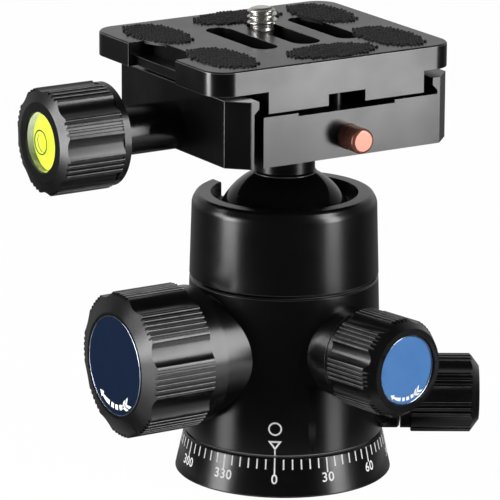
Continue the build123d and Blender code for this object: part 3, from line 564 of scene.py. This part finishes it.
# a machined piece with its edges broken, as a tumbler leaves them
def softened(node, width=0.15, angle=32.0, segments=2, axes=(upright,), first=None):
    bm = mergedCopy(node)
    if first:
        first(bm)
    roundOff(bm, sharpEdges(bm, angle), width, segments)
    return finishPiece(bm, "soft_" + node, bodyOf[node], slotOf[node], replaces=(node,), axes=axes)


# an outline of (radius, height) points in mm, turned once round the local Z axis
def lathe(bm, outline, steps=96, place=Matrix.Identity(4)):
    before = set(bm.verts)
    points = [bm.verts.new((r * mm, 0, z * mm)) for r, z in outline]
    edges = [bm.edges.new(pair) for pair in zip(points, points[1:])]
    bmesh.ops.spin(bm, geom=points + edges, cent=(0, 0, 0), axis=(0, 0, 1), angle=2 * pi,
                   steps=steps, use_merge=True, dvec=(0, 0, 0))
    made = [v for v in bm.verts if v not in before]
    bmesh.ops.remove_doubles(bm, verts=made, dist=merging["turnedGap"] * mm)
    made = {v for v in bm.verts if v not in before}
    bmesh.ops.recalc_face_normals(bm, faces=[f for f in bm.faces if made.issuperset(f.verts)])
    bmesh.ops.transform(bm, matrix=place, verts=list(made))


# machined pieces

grips = {
    # the knob's axis and how far each of its ridges is rounded over
    "ball_lock_knob": (lockStation, 0.28), "friction_knob": (frictionStation, 0.21),
    "pan_knob": (panStation, 0.27), "clamp_knob": (clampStation, 0.27),
}
gripCut = {"ridgeAngle": 25.0, "ridgeSegments": 4, "shortest": 3.0, "along": 0.999, "edgeAngle": 20.0}


# ridges are rounded over along the grip first, then the knob's other edges are broken
def makeKnob(node, width, segments, axes):
    place, ridge = grips[node]
    along = axisOf(place)[1]
    bm = mergedCopy(node)

    def lengthwise(edge):
        run = edge.verts[1].co - edge.verts[0].co
        return run.length > gripCut["shortest"] * mm and abs(run.normalized().dot(along)) > gripCut["along"]
    roundOff(bm, sharpEdges(bm, gripCut["ridgeAngle"], lengthwise), ridge, gripCut["ridgeSegments"])
    layer = bm.faces.layers.float["paintedEdgeHighlight"]

    def clear(edge):
        return all(f[layer] < 0.5 for v in edge.verts for f in v.link_faces)
    roundOff(bm, sharpEdges(bm, gripCut["edgeAngle"], clear), width, segments)
    finishPiece(bm, "soft_" + node, bodyOf[node], slotOf[node], replaces=(node,), axes=axes)


machinedPieces = {
    # edge width, segments and the axes that its walls are turned about
    "pan_base": (0.08, 2, [upright]),
    "housing_base": (0.1, 2, [upright, axisOf(lockStation), axisOf(frictionStation), axisOf(panStation)]),
    "ball_lock_knob": (0.15, 3, [axisOf(lockStation)]),
    "friction_knob": (0.15, 3, [axisOf(frictionStation)]),
    "pan_knob": (0.15, 3, [axisOf(panStation)]),
    "clamp_knob": (0.17, 3, [axisOf(clampStation)]),
    "clamp_body": (0.2, 2, []),
    "moving_jaw": (0.22, 2, [axisOf(clampStation)]),
    "plate": (0.2, 2, []),
    "ball_lock_disc": (0.12, 2, [axisOf(lockStation)]),
    "friction_disc": (0.16, 2, [axisOf(frictionStation)]),
}
for node, (width, segments, axes) in machinedPieces.items():
    if node in grips:
        makeKnob(node, width, segments, axes)
    else:
        softened(node, width, segments=segments, axes=axes)

collar = {
    "edge": 0.16, "rimWidth": 1.1, "rimSegments": 5, "rimAngle": 12.0, "rimHeight": 57.5, "rimOut": 16.0,
    "levelWithin": 0.02,
}


# the collar's rim is rounded more than its other edges, and gets no painted edge highlight
def roundRim(bm):
    def onRim(edge):
        first, second = (vert.co for vert in edge.verts)
        middle = (first + second) / 2
        flat = abs(first.z - second.z) < collar["levelWithin"] * mm
        outside = hypot(middle.x, middle.y) > collar["rimOut"] * mm
        return flat and outside and middle.z > collar["rimHeight"] * mm
    rim = [e for e in bm.edges if e.is_manifold and onRim(e)
           and e.calc_face_angle(0.0) > radians(collar["rimAngle"])]
    roundOff(bm, rim, collar["rimWidth"], collar["rimSegments"], highlighted=False)


softened("housing_collar", collar["edge"], axes=[upright], first=roundRim)
print("edges broken on", len(machinedPieces) + 1, "pieces")

# ball and stem

ball = {"radius": 15.0, "height": 51.5, "around": 128, "upward": 80}
stem = {"edge": 0.35, "angle": 30.0, "segments": 3}


def makeBall():
    bm = bmesh.new()
    bmesh.ops.create_uvsphere(
        bm, u_segments=ball["around"], v_segments=ball["upward"], radius=ball["radius"] * mm,
        matrix=Matrix.Translation((0, 0, ball["height"] * mm)))
    finishPiece(bm, "polishedBall", bodyOf["ball"], slotOf["ball"], replaces=("ball",), axes=())


makeBall()
softened("ball_stem", stem["edge"], stem["angle"], stem["segments"], [upright])
print("ball and stem made")

# printed marks

scaleRing = {
    "azimuth": -36.6, "step": 5, "numberStep": 30,
    "tickTop": 8.0, "tick": 2.05, "longTick": 3.1, "width": 0.3,
    "zeroTip": 0.3, "zeroTipMiddle": 8.15, "lift": 0.02, "ink": 0.03,
    "numberMiddle": 3.85, "numberSize": 2.75, "numberBold": 0.035, "numberSteps": 4, "numberSpace": 1.08,
}
indexMarks = {
    "circle": 14.57, "outer": 1.45, "stroke": 0.34, "lift": 0.05,
    "apex": 9.95, "triangleTop": 11.95, "triangleWidth": 2.95, "inset": (0.72, 0.36, 0.62),
    # the line's two bits: middle height and length
    "lines": ((9.5, 0.95), (8.87, 0.28)), "lineWidth": 0.3,
}
cones = {
    # radius and height of the foot, then of the top
    "base": (23.0, 0.35, 21.3, 8.0), "housing": (21.0, 9.0, 20.05, 42.15),
}


def coneRadius(cone, z):
    footRadius, foot, topRadius, top = cones[cone]
    return footRadius - (footRadius - topRadius) * (z - foot) / (top - foot)


# small chamfers, at 45 degrees, face each other across the gap between the cones
def baseRadius(z):
    radius, top = cones["base"][2:]
    return coneRadius("base", z) if z < top else radius - (z - top)


def housingRadius(z):
    radius, foot = cones["housing"][:2]
    return coneRadius("housing", z) if z > foot else radius - (foot - z)


# lays flat artwork, drawn in mm, on a cone: x runs round, y up, z out
def wrapOn(verts, radius, azimuth, height, lift):
    for vert in verts:
        x, y, out = vert.co / mm
        z = height + y
        r = radius(z) + lift + out
        a = radians(azimuth) + x / radius(z)
        vert.co = Vector((sin(a) * r, -cos(a) * r, z)) * mm


def numberMesh(text, size):
    curve = bpy.data.curves.new("number", "FONT")
    curve.body = text
    curve.size = size * mm
    curve.align_x, curve.align_y = "CENTER", "CENTER"
    curve.extrude = scaleRing["ink"] / 2 * mm
    curve.offset = scaleRing["numberBold"] * mm
    curve.resolution_u = scaleRing["numberSteps"]
    curve.space_character = scaleRing["numberSpace"]
    holder = bpy.data.objects.new("number", curve)
    bpy.context.scene.collection.objects.link(holder)
    mesh = bpy.data.meshes.new_from_object(holder.evaluated_get(bpy.context.evaluated_depsgraph_get()))
    bpy.data.objects.remove(holder)
    bpy.data.curves.remove(curve)
    return mesh


# a thin upright bar, drawn flat, with its middle on the Y axis
def bar(bm, width, tall, middle=0.0):
    size = Matrix.Diagonal((width, tall, scaleRing["ink"], 1 / mm)) * mm
    place = Matrix.Translation((0, middle * mm, 0))
    return bmesh.ops.create_cube(bm, size=1.0, matrix=place @ size)["verts"]


def makeScaleRing():
    look = scaleRing
    bm = bmesh.new()
    for degree in range(0, 360, look["step"]):
        azimuth, numbered = look["azimuth"] + degree, degree % look["numberStep"] == 0
        tall = look["longTick"] if numbered else look["tick"]
        tick = bar(bm, look["width"], tall)
        wrapOn(tick, baseRadius, azimuth, look["tickTop"] - tall / 2, look["lift"])
        if degree == 0:
            tip = bar(bm, look["width"], look["zeroTip"])
            wrapOn(tip, baseRadius, azimuth, look["zeroTipMiddle"], look["lift"])
        if numbered:
            before = len(bm.verts)
            mesh = numberMesh(str(degree), look["numberSize"])
            bm.from_mesh(mesh)
            bpy.data.meshes.remove(mesh)
            bm.verts.ensure_lookup_table()
            wrapOn(bm.verts[before:], baseRadius, azimuth, look["numberMiddle"], look["lift"])
    finishPiece(bm, "degreeScale", bodyOf["pan_base"], finish=whitePrint, flat=True)


# gives flat faces a thickness upward
def thicken(bm, faces, thick):
    lifted = bmesh.ops.extrude_face_region(bm, geom=faces)["geom"]
    lifted = [v for v in lifted if isinstance(v, bmesh.types.BMVert)]
    bmesh.ops.translate(bm, verts=lifted, vec=(0, 0, thick * mm))


# a flat band between two outlines of the same number of points
def band(bm, inner, outer, thick):
    rings = []
    for outline in (inner, outer):
        points = [bm.verts.new((x * mm, y * mm, 0)) for x, y in outline]
        rings.append([bm.edges.new((points[i], points[(i + 1) % len(points)])) for i in range(len(points))])
    thicken(bm, bmesh.ops.bridge_loops(bm, edges=rings[0] + rings[1])["faces"], thick)


def ringOutline(radius, count=40):
    turns = [2 * pi * i / count for i in range(count)]
    return [(radius * cos(a), radius * sin(a)) for a in turns]


def makeIndexMarks():
    look = indexMarks
    bm = bmesh.new()
    band(bm, ringOutline(look["outer"] - look["stroke"]), ringOutline(look["outer"]), scaleRing["ink"])
    wrapOn(bm.verts, housingRadius, scaleRing["azimuth"], look["circle"], look["lift"])
    before = len(bm.verts)
    half, tall = look["triangleWidth"] / 2, look["triangleTop"] - look["apex"]
    side, top, tip = look["inset"]
    outer = [(-half, tall), (half, tall), (0, 0)]
    inner = [(-half + side, tall - top), (half - side, tall - top), (0, tip)]
    band(bm, inner, outer, scaleRing["ink"])
    for middle, tall in look["lines"]:
        bar(bm, look["lineWidth"], tall, middle - look["apex"])
    bm.verts.ensure_lookup_table()
    wrapOn(bm.verts[before:], housingRadius, scaleRing["azimuth"], look["apex"], look["lift"])
    bmesh.ops.recalc_face_normals(bm, faces=bm.faces)
    finishPiece(bm, "indexMarks", bodyOf["housing_base"], finish=whitePrint, flat=True)


arrows = {
    # place, radius of the arc, height of the disc's face, size of the marks
    "lockArrow": (lockStation, 8.75, 41.4, 1.0, "ball_lock_disc"),
    "frictionArrow": (frictionStation, 6.2, 37.8, 0.72, "friction_disc"),
}
arrowShape = {
    # degrees round the arc, with shares of the mark's width outward
    "width": 1.15, "thick": 0.03, "proud": 0.01, "steps": 8,
    "head": ((227, 0.15), (236, 0.85), (236.5, 0.35), (246, 0.5), (256, 0.5),
             (256, -0.45), (246, -0.3), (236.5, -0.1), (236, -0.6)),
    "dashes": (260.5, 271.5, 283), "dash": 7, "dashWidth": 0.95,
    "chevrons": (290, 299), "arm": ((0, 0), (6, 0), (15, 1.0), (9, 0.95)),
    "stalk": (290, 302), "stalkWidth": 0.3,
}


# a piece of the arrow's arc: a short edge spun round the disc's axis
def arcBar(bm, radius, start, end, width, thick):
    before = set(bm.faces)
    sides = [onArc(radius, start, side * width / 2) for side in (-1, 1)]
    ends = [bm.verts.new((x * mm, y * mm, 0)) for x, y in sides]
    edge = bm.edges.new(ends)
    bmesh.ops.spin(bm, geom=ends + [edge], cent=(0, 0, 0), axis=(0, 0, 1), angle=radians(end - start),
                   steps=arrowShape["steps"], use_merge=False, dvec=(0, 0, 0))
    thicken(bm, [f for f in bm.faces if f not in before], thick)


def flatShape(bm, points, thick):
    thicken(bm, [bm.faces.new([bm.verts.new((x * mm, y * mm, 0)) for x, y in points])], thick)


def onArc(radius, degree, out=0.0):
    a = radians(degree)
    return ((radius + out) * cos(a), (radius + out) * sin(a))


# a solid head with a long tail, three dashes, and an open double chevron
def makeArrow(name, place, radius, height, size, disc):
    look = arrowShape
    bm = bmesh.new()
    thick, wide = look["thick"], look["width"] * size
    flatShape(bm, [onArc(radius, degree, wide * out) for degree, out in look["head"]], thick)
    for start in look["dashes"]:
        arcBar(bm, radius, start, start + look["dash"], wide * look["dashWidth"], thick)
    for start in look["chevrons"]:
        for side in (-1, 1):
            arm = [onArc(radius, start + along, side * wide * out) for along, out in look["arm"]]
            flatShape(bm, arm, thick)
    arcBar(bm, radius, *look["stalk"], wide * look["stalkWidth"], thick)
    bmesh.ops.recalc_face_normals(bm, faces=bm.faces)
    lift = Matrix.Translation((0, 0, (height + look["proud"]) * mm))
    bmesh.ops.transform(bm, matrix=place @ lift, verts=bm.verts)
    finishPiece(bm, name, bodyOf[disc], finish=whitePrint, flat=True)


rims = {
    # place, the disc's radius, the height of its face, the rim's half width
    "lockRim": (lockStation, 10.62, 41.4, 0.1, "ball_lock_disc"),
    "frictionRim": (frictionStation, 7.42, 37.93, 0.13, "friction_disc"),
}


# the bright cut rim round a disc: a bead with its middle a little inside the radius
def makeRim(name, place, radius, height, half, disc, inset=1.2):
    bm = bmesh.new()
    turns = [radians(a) for a in range(0, 361, 45)]
    middle = radius - inset * half
    lathe(bm, [(middle + half * cos(a), height + half * sin(a)) for a in turns], place=place)
    finishPiece(bm, name, bodyOf[disc], finish=cutRim, axes=(axisOf(place),))


makeScaleRing()
makeIndexMarks()
for name, (place, radius, height, size, disc) in arrows.items():
    makeArrow(name, place, radius, height, size, disc)
for name, (place, radius, height, half, disc) in rims.items():
    makeRim(name, place, radius, height, half, disc)
print("scale, index and arrows printed")

# camera screw

screwLook = {
    "x": 0.2, "y": 9.7, "crest": 3.175, "root": 2.5, "pitch": 1.27, "turns": 2.85,
    "threadFoot": 94.3, "top": 98.52, "around": 64, "steps": 40, "neck": 2.6, "neckTop": 93.8,
    # radius and height above the head's foot
    "head": ((0, 0), (5.1, 0), (5.4, 0.3), (5.4, 1.6), (5.1, 1.9), (2.6, 1.9)),
    # from the root's radius and from the top
    "tip": ((0, -0.7), (-0.25, -0.25), (-0.9, -0.05)),
    # the ridge, from the crest's radius, and how far its two feet are sunk and apart
    "ridge": ((-0.2, 0.36), (-0.04, 0.47), (0, 0.6), (-0.04, 0.73), (-0.2, 0.84)),
    "sunk": 0.12, "ridgeFoot": 1.2, "ridgeDrop": 0.3,
    # in turns: where the ridge starts to rise and to fall, and over how much
    "rise": (0.25, 0.35), "fall": (0.6, 0.5),
}


def makeCameraScrew():
    look = screwLook
    bm = bmesh.new()
    foot, root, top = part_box("camera_screw")[0][2] / mm, look["root"], look["top"]
    outline = [(r, foot + z) for r, z in look["head"]]
    outline += [(look["neck"], look["neckTop"]), (root, look["threadFoot"])]
    outline += [(root + r, top + z) for r, z in look["tip"]]
    lathe(bm, outline + [(0, top)], look["around"])
    # the thread: a rounded ridge swept up a helix
    before = set(bm.verts)
    low, base = root - look["sunk"], look["threadFoot"] - look["ridgeDrop"]
    ridge = [(low, 0.0)] + [(look["crest"] + r, z) for r, z in look["ridge"]] + [(low, look["ridgeFoot"])]
    points = [bm.verts.new((r * mm, 0, (base + z) * mm)) for r, z in ridge]
    face = bm.faces.new(points)
    bmesh.ops.spin(bm, geom=points + list(face.edges) + [face], cent=(0, 0, 0), axis=(0, 0, 1),
                   angle=2 * pi * look["turns"], steps=int(look["turns"] * look["steps"]), use_merge=False,
                   dvec=(0, 0, look["pitch"] / look["steps"] * mm))
    bmesh.ops.recalc_face_normals(bm, faces=bm.faces)
    # its two ends run out into the shank
    (early, risen), (late, fallen) = look["rise"], look["fall"]
    for vert in [v for v in bm.verts if v not in before]:
        climb = (vert.co.z / mm - look["threadFoot"]) / look["pitch"]
        fade = min(1.0, max(0.0, (climb + early) / risen), max(0.0, (look["turns"] + late - climb) / fallen))
        r = hypot(vert.co.x, vert.co.y)
        wanted = min(r, low * mm + (r - low * mm) * fade)
        vert.co.x, vert.co.y = vert.co.x / r * wanted, vert.co.y / r * wanted
    middle = Vector((look["x"] * mm, look["y"] * mm, 0))
    bmesh.ops.translate(bm, verts=bm.verts, vec=middle)
    finishPiece(bm, "cameraScrew", bodyOf["camera_screw"], "steel", replaces=("camera_screw",),
                axes=((middle, Vector((0, 0, 1))),))


makeCameraScrew()
print("camera screw threaded")

# rubber pads

pads = {
    "pitch": 0.82, "bead": 0.38, "beadTall": 0.32, "jitter": 0.15, "low": 93.82, "skin": 94.5, "top": 94.92,
    "skinInset": 0.15, "beadInset": 0.4, "steps": 72, "seed": (12.9898, 78.233), "shifts": (43.7, 91.3, 27.1),
    # sizes, then the middle of the group and how far its pads stand from there
    "corner": (11.4, 20.4), "cornerAt": (-2.95, 0.51, 20.3, 13.0),
    "middle": (20.6, 10.8), "middleAt": (-0.3, 0.51, 18.6),
}


# one oval pad round the origin: a flat skin with rows of small beads
def padShape(bm, width, deep):
    look = pads
    made = bmesh.ops.create_circle(bm, cap_ends=True, segments=look["steps"], radius=1.0)["verts"]
    inset = look["skinInset"]
    bmesh.ops.scale(bm, verts=made, vec=((width / 2 - inset) * mm, (deep / 2 - inset) * mm, 1))
    bmesh.ops.translate(bm, verts=made, vec=(0, 0, look["low"] * mm))
    thicken(bm, [f for f in bm.faces], look["skin"] - look["low"])
    bmesh.ops.recalc_face_normals(bm, faces=bm.faces)
    pitch, row, inset = look["pitch"], 0, look["beadInset"]
    y = -deep / 2
    while y < deep / 2:
        x = -width / 2 + (pitch / 2 if row % 2 else 0.0)
        while x < width / 2:
            seed = look["seed"][0] * x + look["seed"][1] * y
            shiftX, shiftY, swell = (sin(seed * k) * look["jitter"] for k in look["shifts"])
            if (2 * x / (width - inset)) ** 2 + (2 * y / (deep - inset)) ** 2 < 1.0 + shiftX:
                bead, tall = look["bead"] * (1 + swell), look["beadTall"] * (1 - abs(swell))
                size = Matrix.Diagonal((bead, bead, tall, 1 / mm)) * mm
                height = look["top"] - look["beadTall"]
                middle = Matrix.Translation(((x + shiftX) * mm, (y + shiftY) * mm, height * mm))
                bmesh.ops.create_icosphere(bm, subdivisions=1, radius=1.0, matrix=middle @ size)
            x += pitch
        y += pitch * sqrt(3) / 2
        row += 1


def makePads(name, node, size, places):
    one = bmesh.new()
    padShape(one, *size)
    mesh = bpy.data.meshes.new("onePad")
    one.to_mesh(mesh)
    one.free()
    bm = bmesh.new()
    for x, y in places:
        before = len(bm.verts)
        bm.from_mesh(mesh)
        bm.verts.ensure_lookup_table()
        bmesh.ops.translate(bm, verts=bm.verts[before:], vec=(x * mm, y * mm, 0))
    bpy.data.meshes.remove(mesh)
    finishPiece(bm, name, bodyOf[node], slotOf[node], replaces=(node,), axes=())


cornerX, cornerY, acrossX, acrossY = pads["cornerAt"]
makePads("cornerPads", "corner_pads", pads["corner"],
         [(cornerX + i * acrossX, cornerY + j * acrossY) for i in (-1, 1) for j in (-1, 1)])
middleX, middleY, apart = pads["middleAt"]
makePads("middlePads", "middle_pads", pads["middle"], [(middleX, middleY + j * apart) for j in (-1, 1)])
print("pads beaded")

# bubble level

level = {
    "outer": 6.22, "inner": 6.08, "back": 54.2, "floor": 54.4, "rim": 57.95, "wallGap": 0.04, "around": 72,
    # above the cup's floor
    "fluid": (0.03, 0.2),
    "lensFoot": 54.65, "seat": 0.07, "lip": 0.03, "lens": 6.2, "edge": 58.3, "top": 58.64,
    # the lens's crown: radius and depth below the top
    "crown": ((5.95, 0.2), (4.2, 0.1), (2.2, 0.03)),
    "ring": 2.48, "ringWidth": 0.3, "ringDepth": (0.06, 0.01),
    "bubble": 2.15, "bubbleDepth": 1.1, "bubbleFlat": 0.3, "bubbleSteps": (40, 20),
}


def makeLevel():
    look = level
    axes = (axisOf(clampStation),)
    outer, inner, floor, rim, top = (look[key] for key in ("outer", "inner", "floor", "rim", "top"))

    def turnedPiece(outline, name, node, **settings):
        bm = bmesh.new()
        lathe(bm, outline, look["around"], clampStation)
        finishPiece(bm, name, bodyOf[node], axes=axes, **settings)

    cup = [(0, look["back"]), (outer, look["back"]), (outer, rim), (inner, rim), (inner, floor), (0, floor)]
    turnedPiece(cup, "levelCup", "level_vial", finish=cupWithPaintedGlow, replaces=("level_vial",))
    low, high = (floor + z for z in look["fluid"])
    wet = inner - look["wallGap"]
    turnedPiece([(0, low), (wet, low), (wet, high), (0, high)],
                "levelFluid", "level_liquid", slot="vial_fluid", replaces=("level_liquid",))
    # the lens's side sits in the cup's wall, which shows through it
    seated, lip = inner + look["seat"], rim + look["lip"]
    lens = [(0, look["lensFoot"]), (seated, look["lensFoot"]), (seated, lip), (look["lens"], lip),
            (look["lens"], look["edge"])]
    lens += [(r, top - deep) for r, deep in look["crown"]] + [(0, top)]
    turnedPiece(lens, "levelLens", "level_vial", slot="clear_acrylic")
    low, high = (top - deep for deep in look["ringDepth"])
    inside, outside = (look["ring"] + side * look["ringWidth"] / 2 for side in (-1, 1))
    turnedPiece([(inside, low), (inside, high), (outside, high), (outside, low), (inside, low)],
                "levelRing", "level_vial", finish=darkInk)
    bm = bmesh.new()
    spot = clampStation @ Matrix.Translation((0, 0, (top - look["bubbleDepth"]) * mm))
    flat = Matrix.Diagonal((1, 1, look["bubbleFlat"], 1))
    around, upward = look["bubbleSteps"]
    bmesh.ops.create_uvsphere(
        bm, u_segments=around, v_segments=upward, radius=look["bubble"] * mm, matrix=spot @ flat)
    bmesh.ops.recalc_face_normals(bm, faces=bm.faces)
    finishPiece(bm, "levelBubble", bodyOf["level_liquid"], finish=airBubble, axes=())


makeLevel()
print("level made")

# safety button

button = {"edge": 0.5, "angle": 40.0, "segments": 4, "height": 77.7, "travel": 2.0}
softened("safety_button", button["edge"], button["angle"], button["segments"],
         [(Vector((0, 0, button["height"] * mm)), Vector((0, -1, 0)))])


# the button's spring, copied from its mesh, with mesh data of its own
def makeSpring():
    spring = finishPiece(mergedCopy("button_spring"), "buttonSpring", bodyOf["button_spring"],
                         slotOf["button_spring"], replaces=("button_spring",), axes=())
    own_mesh(spring)


makeSpring()
print("button and spring made")
